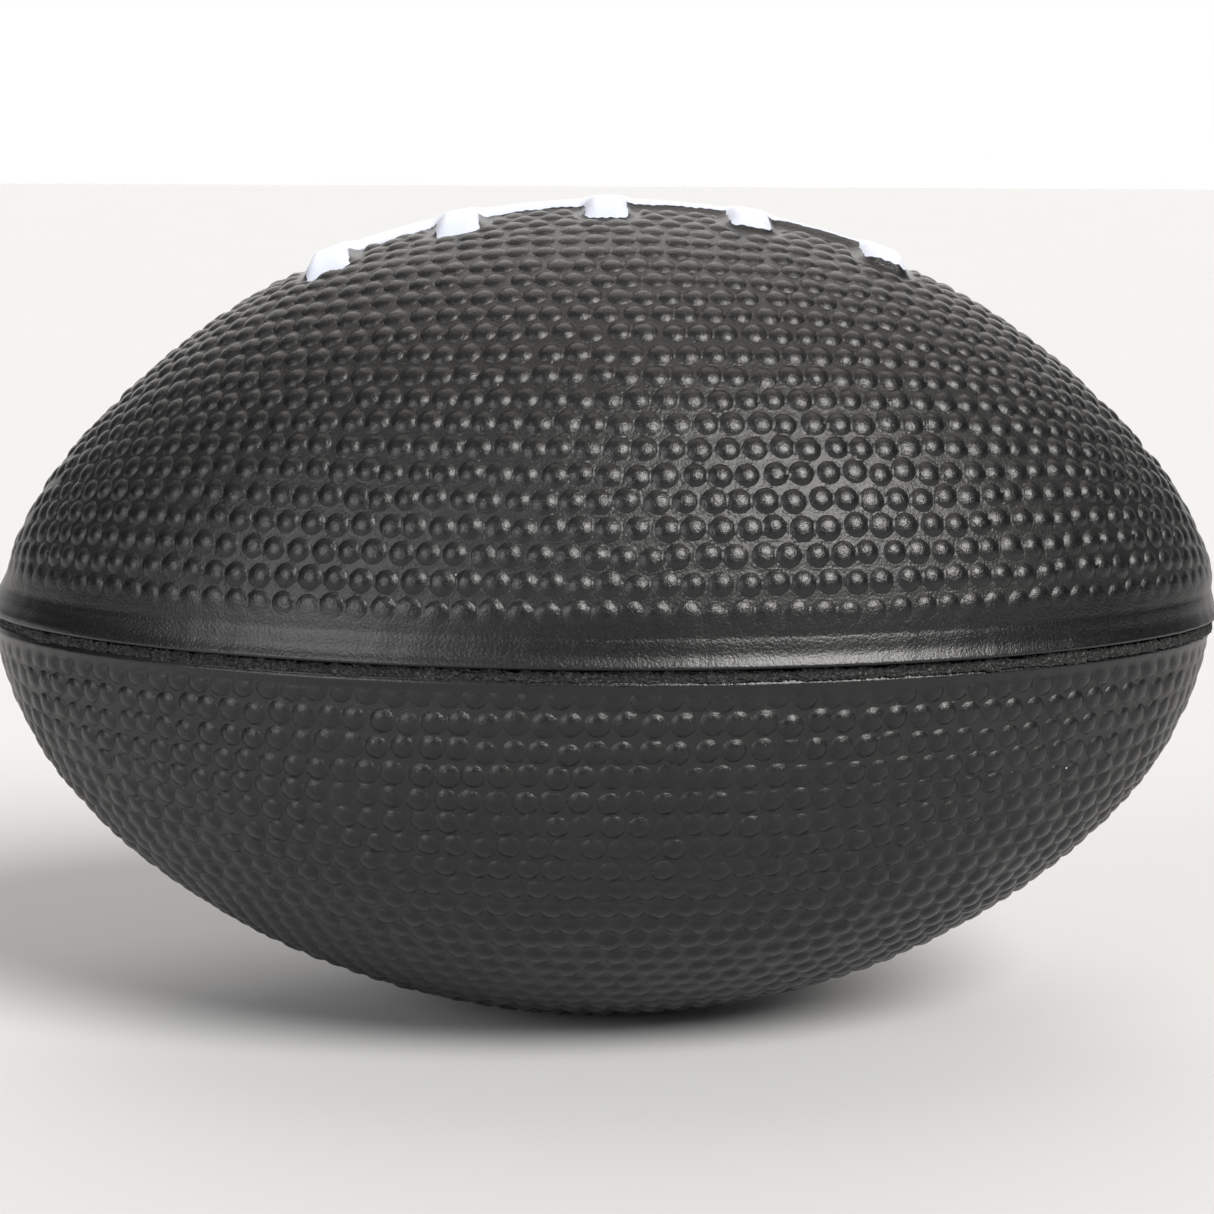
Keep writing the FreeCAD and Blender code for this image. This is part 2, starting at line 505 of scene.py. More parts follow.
@dataclass(frozen=True)
class PebbleGrain:
    """The pebbles: rows of low domes at even distances from the parting plane.

    Every row is a closed loop round the ball with a whole number of domes in it, so
    neighbouring rows drift in and out of step.
    """

    first_upper: float = 4.57
    first_lower: float = 1.12
    row_pitch: float = 1.86
    pitch: float = 1.83
    dome_radius: float = 0.87
    dome_height: float = PEBBLE_HEIGHT
    roundness: float = 2.5
    softness: float = 0.6
    jitter: float = 0.075
    radius_spread: float = 0.055
    height_spread: float = 0.12
    crowding: float = 0.74
    crest_share: float = 0.985
    loop_points: int = 2401
    shortest_loop: int = 8
    farthest: float = 1.6
    seed: int = 11

    def row_loop(self, form: BallForm, half: Half, distance: float) -> Array | None:
        """A closed loop at one distance from the parting plane.

        Args:
            form: The ball's form.
            half: The half of the mould.
            distance: The distance from the parting plane, over the surface.

        Returns:
            Points of the loop, or None where the half isn't that deep.
        """
        x = form.stations(form.reach(half), self.loop_points, *TIP_CROWDING)[1:-1]
        seam = form.level_angle(x, 0.0)
        angle = seam + half.value * distance / form.section(x)[0]
        inside = np.abs(angle) < QUARTER
        if inside.sum() < self.shortest_loop:
            return None
        x, angle = x[inside], angle[inside]
        front = form.surface(x, angle, Side.FRONT, half)[0]
        back = form.surface(x[::-1], angle[::-1], Side.BACK, half)[0]
        return np.vstack([front, back, front[:1]])

    def spread(self, loop: Array, draw: np.random.Generator) -> Array:
        """Places for a whole number of domes along a loop.

        Args:
            loop: Points of the closed loop.
            draw: The source of the row's starting place.

        Returns:
            The places.
        """
        walk = walked(loop)
        count = max(round(walk[-1] / self.pitch), 1)
        stops = (np.arange(count) + draw.uniform()) * walk[-1] / count % walk[-1]
        return picked(loop, walk, stops)

    def crest_line(self, form: BallForm, half: Half) -> Array:
        """A line of domes that closes the pattern along the crest, or the keel.

        Args:
            form: The ball's form.
            half: The half of the mould.

        Returns:
            The domes' places.
        """
        reach = self.crest_share * form.half_length
        x = np.linspace(-reach, reach, round(2 * reach / self.pitch))
        return form.surface(x, np.full(len(x), half.value * QUARTER), Side.FRONT, half)[0]

    def centres(self, form: BallForm, half: Half) -> Layout:
        """Lays out every dome of one half.

        Args:
            form: The ball's form.
            half: The half of the mould.

        Returns:
            The domes' centres, radii and heights.
        """
        draw = np.random.default_rng(self.seed + half.value)
        distance = self.first_upper if half is Half.UPPER else self.first_lower
        rows = []
        while (loop := self.row_loop(form, half, distance)) is not None:
            rows.append(self.spread(loop, draw))
            distance += self.row_pitch
        rows.append(self.crest_line(form, half))
        closest = (self.crowding * self.pitch) ** 2
        kept = np.zeros((0, 3))
        for place in np.vstack(rows):
            if np.min(np.sum((kept - place) ** 2, axis=1), initial=np.inf) > closest:
                kept = np.vstack([kept, place])
        kept = kept + draw.normal(scale=self.jitter, size=kept.shape)
        radii = self.dome_radius * (1 + self.radius_spread * draw.uniform(-1, 1, len(kept)))
        heights = self.dome_height * (1 + self.height_spread * draw.normal(size=len(kept)).clip(-2, 1))
        return kept, radii, heights

    def at(self, points: Array, layout: Layout) -> tuple[Array, Array, Array, Array]:
        """The domes at points of the surface, with a softened foot that the mesh can follow.

        Args:
            points: Places on the surface.
            layout: The domes' centres, radii and heights.

        Returns:
            The heights, their gradients, the distance to the nearest dome's centre as a share
            of its radius, and that dome's height as a share of the usual one.
        """
        centres, radii, heights = layout
        tree = KDTree(len(centres))
        for number, centre in enumerate(centres):
            tree.insert(centre, number)
        tree.balance()
        flat = points.reshape(-1, 3)
        nearest = np.fromiter((tree.find(point)[1] for point in flat.tolist()), int, len(flat))
        away = flat - centres[nearest]
        distance = np.maximum(np.linalg.norm(away, axis=1), 1e-6)
        share = np.minimum(distance / radii[nearest], self.farthest)
        bare = 1 - share**self.roundness
        blend = np.maximum(self.softness - np.abs(bare), 0) / self.softness
        height = heights[nearest] * (np.maximum(bare, 0) + blend**3 * self.softness / 6)
        kept = np.where(bare > 0, 1 - blend**2 / 2, blend**2 / 2)
        steepness = kept * heights[nearest] * self.roundness * share ** (self.roundness - 1) / radii[nearest]
        gradient = -(steepness / distance)[:, None] * away
        strength = heights[nearest] / self.dome_height
        height, share, strength = (values.reshape(points.shape[:-1]) for values in (height, share, strength))
        return height, gradient.reshape(points.shape), share, strength


# --- finishes ---


class Wiring:
    """A node tree, with short ways to add and join nodes."""

    def __init__(self, tree: bpy.types.NodeTree) -> None:
        """Works on this tree."""
        self.tree = tree

    def add(self, kind: str, **settings: object) -> bpy.types.Node:
        """Adds a node.

        Args:
            kind: The node's type, without its ShaderNode prefix.
            **settings: Its properties.

        Returns:
            The node.
        """
        node = self.tree.nodes.new(f"ShaderNode{kind}")
        for name, value in settings.items():
            setattr(node, name, value)
        return node

    def join(self, source: Socket, target: Socket) -> None:
        """Links two sockets."""
        self.tree.links.new(source, target)

    def spread(self, source: Socket, old: Span, new: Span = (0.0, 1.0)) -> Socket:
        """Moves numbers smoothly from one range to another.

        Args:
            source: The numbers.
            old: The range they are in, the low end first.
            new: The range they go to.

        Returns:
            The new numbers.
        """
        node = self.add("MapRange", interpolation_type="SMOOTHSTEP")
        for name, value in zip(("From Min", "From Max", "To Min", "To Max"), old + new):
            node.inputs[name].default_value = value
        self.join(source, node.inputs["Value"])
        return node.outputs["Result"]

    def math(self, operation: str, *numbers: Socket | float) -> Socket:
        """Works out one number from others.

        Args:
            operation: What is done with them.
            *numbers: The numbers, linked or plain.

        Returns:
            The result.
        """
        node = self.add("Math", operation=operation)
        for number, place in zip(numbers, node.inputs):
            if isinstance(number, float):
                place.default_value = number
            else:
                self.join(number, place)
        return node.outputs[0]


class Board(Wiring):
    """A material's node tree round its Principled shader."""

    def __init__(self, name: str) -> None:
        """Starts an empty material."""
        self.material = bpy.data.materials.new(name)
        self.material.use_nodes = True
        super().__init__(self.material.node_tree)

    def pattern(self, kind: str, size_mm: float, **settings: float) -> bpy.types.Node:
        """A pattern that is fixed to the object.

        Args:
            kind: The pattern's node type.
            size_mm: The size of its spots or cells.
            **settings: The values of its other inputs.

        Returns:
            The pattern's node.
        """
        node = self.add(kind)
        node.inputs["Scale"].default_value = 1 / (size_mm * MM)
        for name, value in settings.items():
            node.inputs[name].default_value = value
        self.join(self.add("TexCoord").outputs["Object"], node.inputs["Vector"])
        return node

    def noise(self, size_mm: float, detail: float = 2.0, roughness: float = 0.5) -> Socket:
        """Soft noise, about 0 to 1, with a number of finer layers of a given strength."""
        return self.pattern("TexNoise", size_mm, Detail=detail, Roughness=roughness).outputs["Fac"]

    def values(self, name: str) -> Socket:
        """The numbers stored on the mesh under a name."""
        return self.add("Attribute", attribute_name=name).outputs["Fac"]

    def tint(self, share: Socket, low: Colour | Socket, high: Colour) -> Socket:
        """Mixes two colours.

        Args:
            share: How much of the second colour there is.
            low: The first colour, plain or linked.
            high: The second colour.

        Returns:
            The mixed colour.
        """
        node = self.add("Mix", data_type="RGBA")
        first, second = (place for place in node.inputs if place.type == "RGBA")
        self.join(share, node.inputs["Factor"])
        if isinstance(low, tuple):
            first.default_value = (*low, 1.0)
        else:
            self.join(low, first)
        second.default_value = (*high, 1.0)
        return next(place for place in node.outputs if place.type == "RGBA")

    def dent(self, height: Socket, depth_mm: float, below: Socket | None = None) -> Socket:
        """Turns a height into a bumped normal.

        Args:
            height: The height, 0 to 1.
            depth_mm: The depth that 1 stands for.
            below: A bumped normal that this one is added to.

        Returns:
            The normal.
        """
        node = self.add("Bump")
        node.inputs["Strength"].default_value = 1.0
        node.inputs["Distance"].default_value = depth_mm * MM
        self.join(height, node.inputs["Height"])
        if below is not None:
            self.join(below, node.inputs["Normal"])
        return node.outputs["Normal"]

    def dressed(self, gloss: float, **looks: Socket) -> Material:
        """Joins the looks to the shader.

        Args:
            gloss: The strength of the reflection.
            **looks: The colour, roughness and normal.

        Returns:
            The finished material.
        """
        shader = self.tree.nodes["Principled BSDF"]
        shader.inputs["Specular IOR Level"].default_value = gloss
        for name, look in looks.items():
            self.join(look, shader.inputs["Base Color" if name == "colour" else name.capitalize()])
        return self.material


@dataclass(frozen=True)
class FoamSkinFinish:
    """Black self-skinned foam: dull and very finely grained. The webs between the pebbles are painted paler,
    a painted highlight of those flat webs.
    """

    grain: PebbleGrain
    name: str = "black_foam_skin"
    deep: Colour = (0.0026, 0.0026, 0.0028)
    pale: Colour = (0.0090, 0.0087, 0.0085)
    dust: Colour = (0.45, 0.45, 0.45)
    roughness: Span = (0.28, 0.42)
    gloss: float = 0.48
    grain_mm: float = 0.2
    grain_depth_mm: float = 0.04
    grain_zone: Span = (0.35, 0.75)
    grain_tone: Span = (0.0, 0.5)
    grain_wear: float = 0.7
    web_zone: Span = (0.55, 1.05)
    # How much paler the webs between the pebbles are painted: a painted highlight of the flat webs.
    web_painted_highlight: float = 0.3
    web_wear: float = 0.25
    mottle_mm: float = 4.0
    mottle_zone: Span = (0.3, 0.7)
    mottle_tone: Span = (-0.1, 0.2)
    wear_zone: Span = (0.2, 0.7)
    speck_cell_mm: float = 3.2
    speck_edge: Span = (0.0125, 0.025)
    speck_choice: Span = (0.86, 0.9)

    def foot(self, board: Board) -> Socket:
        """The crisp foot of each pebble, which the mesh leaves soft.

        Args:
            board: The material being built.

        Returns:
            How far the true surface lies above the mesh, as a share of a pebble's height.
        """
        power = board.math("POWER", board.values("pebble_share"), self.grain.roundness)
        bare = board.math("SUBTRACT", 1.0, power)
        soft = board.math("SMOOTH_MAX", bare, 0.0, self.grain.softness)
        left = board.math("SUBTRACT", board.math("MAXIMUM", bare, 0.0), soft)
        return board.math("MULTIPLY", left, board.values("pebble_strength"))

    def dusted(self, board: Board, colour: Socket) -> Socket:
        """Scatters a few specks of pale dust.

        Args:
            board: The material being built.
            colour: The colour below the dust.

        Returns:
            The colour with the dust.
        """
        specks = board.pattern("TexVoronoi", self.speck_cell_mm)
        near = board.spread(specks.outputs["Distance"], self.speck_edge, (1.0, 0.0))
        chosen = board.add("SeparateColor")
        board.join(specks.outputs["Color"], chosen.inputs[0])
        rare = board.spread(chosen.outputs[0], self.speck_choice)
        return board.tint(board.math("MULTIPLY", near, rare), colour, self.dust)

    def material(self) -> Material:
        """Builds the finish."""
        board = Board(self.name)
        grain = board.noise(self.grain_mm, detail=3.0, roughness=0.6)
        mottle = board.noise(self.mottle_mm, detail=3.0)
        web = board.spread(board.values("pebble_share"), self.web_zone)
        web = board.math("MULTIPLY", web, board.values("pebble_strength"))
        pale = board.spread(grain, self.grain_zone, self.grain_tone)
        # The webs are tinted paler here as painted highlight.
        pale = board.math("ADD", board.math("MULTIPLY", web, self.web_painted_highlight), pale)
        pale = board.math("ADD", pale, board.spread(mottle, self.mottle_zone, self.mottle_tone))
        worn_grain = board.math("MULTIPLY", grain, self.grain_wear)
        wear = board.math("ADD", worn_grain, board.math("MULTIPLY", web, self.web_wear))
        crisp = board.dent(self.foot(board), self.grain.dome_height)
        return board.dressed(
            self.gloss,
            colour=self.dusted(board, board.tint(pale, self.deep, self.pale)),
            roughness=board.spread(wear, self.wear_zone, self.roughness),
            normal=board.dent(grain, self.grain_depth_mm, crisp),
        )


@dataclass(frozen=True)
class OpenFoamFinish:
    """Black foam whose cells lie open, where it was cut or has no skin."""

    name: str
    deep: Colour
    pale: Colour
    cell_mm: float
    cell_depth_mm: float
    tone_mm: float
    tone_roughness: float
    tone_zone: Span
    roughness: Span
    roughness_zone: Span = (0.3, 0.7)
    gloss: float = 0.5

    def material(self) -> Material:
        """Builds the finish."""
        board = Board(self.name)
        cell = board.pattern("TexVoronoi", self.cell_mm).outputs["Distance"]
        tone = board.noise(self.tone_mm, detail=4.0, roughness=self.tone_roughness)
        return board.dressed(
            self.gloss,
            colour=board.tint(board.spread(tone, self.tone_zone), self.deep, self.pale),
            roughness=board.spread(tone, self.roughness_zone, self.roughness),
            normal=board.dent(cell, self.cell_depth_mm),
        )


CUT_FOAM = OpenFoamFinish(
    "black_foam_cut", deep=(0.002, 0.002, 0.002), pale=(0.045, 0.044, 0.043),
    cell_mm=0.26, cell_depth_mm=0.16, tone_mm=0.28, tone_roughness=0.75,
    tone_zone=(0.46, 0.72), roughness=(0.7, 0.45),
)
CORE_FOAM = OpenFoamFinish(
    "black_core_foam", deep=(0.008, 0.008, 0.008), pale=(0.034, 0.033, 0.032),
    cell_mm=0.6, cell_depth_mm=0.25, tone_mm=0.8, tone_roughness=0.65,
    tone_zone=(0.3, 0.7), roughness=(0.75, 0.95),
)


@dataclass(frozen=True)
class LacePaintFinish:
    """Slightly bluish white paint that takes on the grain of the foam below it."""

    name: str = "white_lace_paint"
    clean: Colour = (0.60, 0.63, 0.70)
    thin: Colour = (0.45, 0.475, 0.55)
    roughness: Span = (0.42, 0.56)
    gloss: float = 0.45
    grain_mm: float = 0.13
    grain_depth_mm: float = 0.014
    grain_zone: Span = (0.45, 0.8)
    grain_tone: Span = (0.0, 0.5)
    patch_mm: float = 1.3
    patch_zone: Span = (0.3, 0.7)
    edge_zone: Span = (0.55, 1.0)
    edge_tone: Span = (0.0, 0.7)

    def material(self) -> Material:
        """Builds the finish."""
        board = Board(self.name)
        grain = board.noise(self.grain_mm, detail=3.0, roughness=0.6)
        edge = board.spread(board.values("edge"), self.edge_zone, self.edge_tone)
        share = board.math("ADD", edge, board.spread(grain, self.grain_zone, self.grain_tone))
        return board.dressed(
            self.gloss,
            colour=board.tint(share, self.clean, self.thin),
            roughness=board.spread(board.noise(self.patch_mm), self.patch_zone, self.roughness),
            normal=board.dent(grain, self.grain_depth_mm),
        )


@dataclass(frozen=True)
class FloorFinish:
    """Matt pale board."""

    name: str = "pale_board"
    clean: Colour = (0.56, 0.56, 0.563)
    dull: Colour = (0.545, 0.545, 0.548)
    patch_mm: float = 60.0
    roughness: float = 0.9
    gloss: float = 0.1

    def material(self) -> Material:
        """Builds the finish."""
        board = Board(self.name)
        board.tree.nodes["Principled BSDF"].inputs["Roughness"].default_value = self.roughness
        return board.dressed(self.gloss, colour=board.tint(board.noise(self.patch_mm), self.clean, self.dull))


# --- the pieces ---


@dataclass
class Skin:
    """One half of the ball's skin, made as a front and a back piece that meet on the crest.

    Zones are where something fades in: edge, shift and fade zones by the distance from the
    parting plane, tip and swelling zones by the place along the ball.
    """

    form: BallForm
    half: Half
    grain: PebbleGrain
    relief: LaceRelief
    edge: EdgeProfile
    start: float
    edge_zone: float
    edge_rows: int
    mould_shift: float
    shift_zone: Span
    fade_zone: Span
    rows: int = 216
    columns: int = 460
    tip_crowding: Span = (3.5, 0.5)
    deepest_edge: float = 0.6
    root_depth: float = 1.15
    tip_zone: Span = (38.5, 43.0)
    tip_fading: float = 0.6
    swelling: float = 0.34
    swelling_zone: Span = (30.0, 43.0)
    swelling_middle: float = 1.55
    swelling_spread: float = 0.42
    unevenness: Wander = field(default_factory=lambda: Wander(0.022, 6.0, 24.0, 5))
    ripple: Wander = field(default_factory=lambda: Wander(0.006, 1.6, 4.0, 6))

    def angles(self, x: Array) -> Array:
        """The angle of every vertex, in a table of columns and rows.

        Args:
            x: The places of the columns.

        Returns:
            The angles.
        """
        radius = self.form.section(x)[0]
        first = self.form.level_angle(x, self.start)
        depth = radius * (QUARTER - self.half.value * first)
        zone = np.minimum(self.edge_zone, self.deepest_edge * depth)[:, None]
        near = np.linspace(0, 1, self.edge_rows, endpoint=False)
        far = np.linspace(0, 1, self.rows - self.edge_rows)
        distance = np.hstack([near * zone, zone + far * (depth[:, None] - zone)])
        return first[:, None] + self.half.value * distance / np.maximum(radius, 1e-6)[:, None]

    def relieved(self, base: Array, normals: Array, layout: Layout) -> tuple[Array, Array, Array, Array]:
        """Moves points of the outline to where the moulded surface really is.

        Args:
            base: Points of the outline.
            normals: Their normals.
            layout: The domes' centres, radii and heights.

        Returns:
            The moved points, their normals, the distance to the nearest pebble's centre as a
            share of its radius, and how strongly that pebble stands out.
        """
        gap = self.half.value * (base[..., 2] - self.form.parting)
        offset, slope = self.edge.at(gap)
        if self.half is Half.UPPER:
            share = self.swelling * ease(*self.swelling_zone, -base[..., 0])
            away = (gap - self.swelling_middle) / self.swelling_spread
            swell = share * np.exp(-0.5 * away**2)
            offset = offset + swell
            slope = slope - swell * away / self.swelling_spread
        gradient = slope[..., None] * (self.half.value * flat_part(UP, normals))
        fade = ease(*self.fade_zone, gap) * (1 - self.tip_fading * ease(*self.tip_zone, np.abs(base[..., 0])))
        dome, dome_gradient, share, strength = self.grain.at(base, layout)
        layers = []
        if self.half is Half.UPPER:
            fade = fade * self.relief.clear_of(base[..., 0], base[..., 1])
            layers.append(self.relief.height_and_gradient(base, self.grain.dome_height))
        layers.append((dome * fade, dome_gradient * fade[..., None]))
        layers += [self.unevenness.at(base), self.ripple.at(base)]
        for height, rise in layers:
            offset = offset + height
            gradient = gradient + rise
        shift = self.mould_shift * ease(*self.shift_zone, gap)
        points = base + offset[..., None] * normals + shift[..., None] * ALONG
        tilted = unit(normals - flat_part(gradient, normals))
        return points, tilted, share, strength * fade

    def quarter(self, side: Side, layout: Layout) -> Piece:
        """Builds the piece on one side of the ball.

        Args:
            side: The side of the ball.
            layout: The domes' centres, radii and heights.

        Returns:
            The piece.
        """
        x = self.form.stations(self.form.reach(self.half), self.columns, *self.tip_crowding)
        base, normals = self.form.surface(x[:, None], self.angles(x), side, self.half)
        points, *looks = self.relieved(base, normals, layout)
        root = points[:, :1] - self.root_depth * normals[:, :1]
        points = np.concatenate([root, points], axis=1)
        tilted, share, strength = (np.concatenate([look[:, :1], look], axis=1) for look in looks)
        quads = grid_quads(numbered(self.columns, self.rows + 1))
        if side.value * self.half.value > 0:
            quads = quads[:, ::-1]
        name = f"{self.half.name.lower()}_skin_{side.name.lower()}"
        piece = make_piece(name, points.reshape(-1, 3), quads, normals=tilted.reshape(-1, 3))
        add_values(piece, "pebble_share", share)
        add_values(piece, "pebble_strength", strength)
        return piece

    def build(self, finish: Material) -> None:
        """Builds and declares both pieces.

        Args:
            finish: The skin's material.
        """
        layout = self.grain.centres(self.form, self.half)
        LOG.info("%s half: %d pebbles", self.half.name.lower(), len(layout[0]))
        for side in Side:
            piece = self.quarter(side, layout)
            declare(piece, finish, f"{self.half.name.lower()}_skin")


@dataclass
class FlashStrip:
    """The thin strip of open foam between the halves, left where the flash was trimmed."""

    form: BallForm
    outline_points: int = 4001
    count: int = 3000
    layers: int = 13
    inset: float = 0.16
    depth: float = 1.1
    sunk: float = 0.02
    overlap: float = 0.12
    bulge: float = 0.08
    roughness: float = 0.075
    seed: int = 23
    wave: Wander = field(default_factory=lambda: Wander(0.06, 1.5, 9.0, 23))
    ragged: Wander = field(default_factory=lambda: Wander(0.09, 0.35, 2.5, 24))

    def planform(self) -> tuple[Array, Array]:
        """The strip's outline seen from above.

        Returns:
            Its points and their outward directions.
        """
        x = self.form.stations(self.form.reach(Half.LOWER), self.outline_points, *TIP_CROWDING)
        angle = self.form.level_angle(x, 0.0)
        front = self.form.surface(x, angle, Side.FRONT, Half.LOWER)[0][:, :2]
        loop = np.vstack([front, front[-2:0:-1] * (1, -1), front[:1]])
        walk = walked(loop)
        points = picked(loop, walk, np.linspace(0, walk[-1], self.count, endpoint=False))
        along = np.roll(points, -1, axis=0) - np.roll(points, 1, axis=0)
        return points, unit(np.stack([along[:, 1], -along[:, 0]], axis=-1))

    def build(self, finish: Material) -> None:
        """Args:
            finish: Its material.
        """
        points, outward = self.planform()
        height = self.form.flash_top - self.form.parting
        levels = np.linspace(-self.sunk, height + self.overlap, self.layers)
        rough = np.random.default_rng(self.seed).normal(size=(self.count, self.layers))
        rough = rough + np.roll(rough, 1, axis=0) + np.roll(rough, -1, axis=0)
        rough = rough * self.roughness / math.sqrt(3)
        spots = np.pad(points, ((0, 0), (0, 1)))
        bulge = self.bulge * np.sin(np.pi * np.linspace(0, 1, self.layers))
        outer = -self.inset + self.wave.at(spots)[0][:, None] + bulge - np.abs(rough)
        inner = np.full((self.count, 1), -self.depth)
        offsets = np.hstack([inner, outer, inner])
        levels = np.concatenate([levels[:1], levels, levels[-1:]])
        tall = levels + self.ragged.at(spots)[0][:, None] * (levels / height - 0.5)
        flat = points[:, None, :] + offsets[..., None] * outward[:, None, :]
        solid = np.concatenate([flat, (self.form.parting + tall)[..., None]], axis=-1)
        numbers = np.pad(numbered(*solid.shape[:2]), ((0, 1), (0, 1)), mode="wrap")
        piece = make_piece("parting_flash_strip", solid.reshape(-1, 3), grid_quads(numbers))
        declare(piece, finish, "parting_flash")


@dataclass
class LacePaint:
    """The white paint on the raised lacing, turned a little against the relief below it."""

    form: BallForm
    relief: LaceRelief
    foot: float
    mould_shift: float
    skew: float = math.radians(1.9)
    slip: float = -0.12
    half_width: float = 1.5
    half_length: float = 6.1
    corner: float = 0.6
    ridge_half_width: float = 1.3
    fillet: float = 0.3
    fillet_reach: float = 0.25
    thickness: float = 0.05
    edge_drop: float = 0.8
    edge_power: int = 6
    end_power: int = 8
    sunk: float = 0.12
    step: float = 0.09
    ridge_rows: int = 31
    edge_wander: Wander = field(default_factory=lambda: Wander(0.035, 0.4, 2.2, 31))

    @property
    def middles(self) -> list[float]:
        """The place of each cross lace along the pattern."""
        return [middle - self.relief.slip for middle in self.relief.middles]

    def on_skin(self, along: Array, across: Array, lift: Array) -> Array:
        """Lays points of the painted pattern on the skin.

        Args:
            along: Places along the pattern.
            across: Places across it, away from the viewer.
            lift: How far each point stands above the relief.

        Returns:
            The points in space.
        """
        x = along * math.cos(self.skew) - across * math.sin(self.skew) + self.slip - self.mould_shift
        y = along * math.sin(self.skew) + across * math.cos(self.skew)
        radius, slope = self.form.section(x)
        angle = np.arccos(np.clip(y / radius, -1, 1))
        points = np.stack([x, radius * np.cos(angle), self.form.axis + radius * np.sin(angle)], axis=-1)
        normals = unit(np.stack([-slope, np.cos(angle), np.sin(angle)], axis=-1))
        height = self.relief.height(x, y, self.foot) - self.foot + lift
        return points + height[..., None] * normals + self.mould_shift * ALONG

    def patch(self, name: str, along: Array, across: Array, edge: Array) -> Piece:
        """Makes a thin closed shell from a table of places in the pattern.

        Args:
            name: The piece's name.
            along: Places along the pattern, in rows and columns.
            across: Places across it.
            edge: How near each place is to the edge, 0 in the middle to 1.

        Returns:
            The piece.
        """
        rounded = self.thickness * (1 - self.edge_drop * edge**self.edge_power)
        top = self.on_skin(along, across, rounded)
        bottom = self.on_skin(along, across, np.full_like(along, -self.sunk))
        numbers = numbered(*along.shape)
        under = numbers + along.size
        rim = [
            (numbers[0], under[0]), (under[-1], numbers[-1]),
            (under[:, 0], numbers[:, 0]), (numbers[:, -1], under[:, -1]),
        ]
        quads = [grid_quads(numbers), grid_quads(under)[:, ::-1]]
        quads += [grid_quads(np.stack(pair, axis=-1))[:, ::-1] for pair in rim]
        points = np.vstack([top.reshape(-1, 3), bottom.reshape(-1, 3)])
        piece = make_piece(name, points, np.vstack(quads))
        add_values(piece, "edge", np.concatenate([edge.ravel(), edge.ravel()]))
        return piece

    def ragged(self, along: Array, across: Array) -> Array:
        """How far the paint's edge wanders at places of the pattern."""
        return self.edge_wander.at(np.stack([along, across, np.zeros_like(along)], axis=-1))[0]

    def bar(self, number: int, middle: float) -> Piece:
        """Paints one cross lace.

        Args:
            number: Its number, counted from the left.
            middle: Its place along the pattern.

        Returns:
            The piece.
        """
        turn = np.linspace(-QUARTER, QUARTER, round(2 * self.half_length / self.step))
        across = self.half_length * np.sin(turn)
        over = np.maximum(np.abs(across) - self.half_length + self.corner, 0)
        half_width = self.half_width - self.corner + np.sqrt(np.maximum(self.corner**2 - over**2, 0))
        share = np.sin(np.linspace(-QUARTER, QUARTER, round(2 * self.half_width / self.step)))
        along = middle + half_width[None, :] * share[:, None]
        across = np.broadcast_to(across, along.shape)
        slack = self.ragged(along, across)
        grown = along + slack * share[:, None]
        near_end = np.abs(across / self.half_length) ** self.end_power
        reach = across + slack * near_end * np.sign(across)
        edge = np.maximum(np.abs(share)[:, None], np.abs(across) / self.half_length)
        return self.patch(f"cross_lace_paint_{number}", grown, reach, edge)

    def ridge(self) -> Piece:
        """Paints the long lace, which widens in a small fillet where it meets a cross lace.

        Returns:
            The piece.
        """
        first, last = self.middles[0], self.middles[-1]
        along = np.linspace(first, last, round((last - first) / self.step))
        gap = np.min([np.abs(along - middle) for middle in self.middles], axis=0) - self.half_width
        half_width = self.ridge_half_width + self.fillet * np.exp(-np.maximum(gap, 0) / self.fillet_reach)
        share = np.sin(np.linspace(-QUARTER, QUARTER, self.ridge_rows))
        across = half_width[None, :] * share[:, None]
        along = np.broadcast_to(along, across.shape)
        across = across + self.ragged(along, across) * share[:, None]
        edge = np.broadcast_to(np.abs(share)[:, None], across.shape)
        return self.patch("lace_spine_paint", along[:, ::-1], across, edge)

    def build(self, finish: Material) -> None:
        """Paints and declares every lace.

        Args:
            finish: The paint's material.
        """
        for number, middle in enumerate(self.middles, start=1):
            declare(self.bar(number, middle), finish, f"cross_lace_{number}")
        declare(self.ridge(), finish, "lace_spine")


@dataclass
class FoamCore:
    """The soft foam under the skins, with a lumpy cellular surface."""

    form: BallForm
    depth: float = 1.3
    least_radius: float = 0.02
    reach_share: float = 0.9995
    tip_crowding: Span = (3.0, 0.5)
    columns: int = 260
    spokes: int = 200
    lumps: Wander = field(default_factory=lambda: Wander(0.05, 1.2, 5.0, 41))

    def build(self, finish: Material) -> None:
        """Args:
            finish: Its material.
        """
        reach = self.reach_share * self.form.half_length
        x = self.form.stations(reach, self.columns, *self.tip_crowding)[:, None]
        angle = np.linspace(-math.pi, math.pi, self.spokes, endpoint=False)[None, :]
        angle = np.broadcast_to(angle, (self.columns, self.spokes))
        base, normals = self.form.surface(x, angle, Side.FRONT, Half.UPPER)
        lumps = self.lumps.at(base)[0]
        points = base + (lumps - self.depth)[..., None] * normals
        points[..., 1:] -= (0, self.form.axis)
        radius = np.hypot(points[..., 1], points[..., 2])
        wanted = np.maximum(self.form.section(x)[0] - self.depth, self.least_radius)
        points[..., 1:] *= (np.minimum(wanted, radius) / radius)[..., None]
        points[..., 2] += self.form.axis
        numbers = np.pad(numbered(*points.shape[:2]), ((0, 0), (0, 1)), mode="wrap")
        piece = make_piece("foam_core_body", points.reshape(-1, 3), grid_quads(numbers))
        declare(piece, finish, "foam_core")


# --- the studio ---


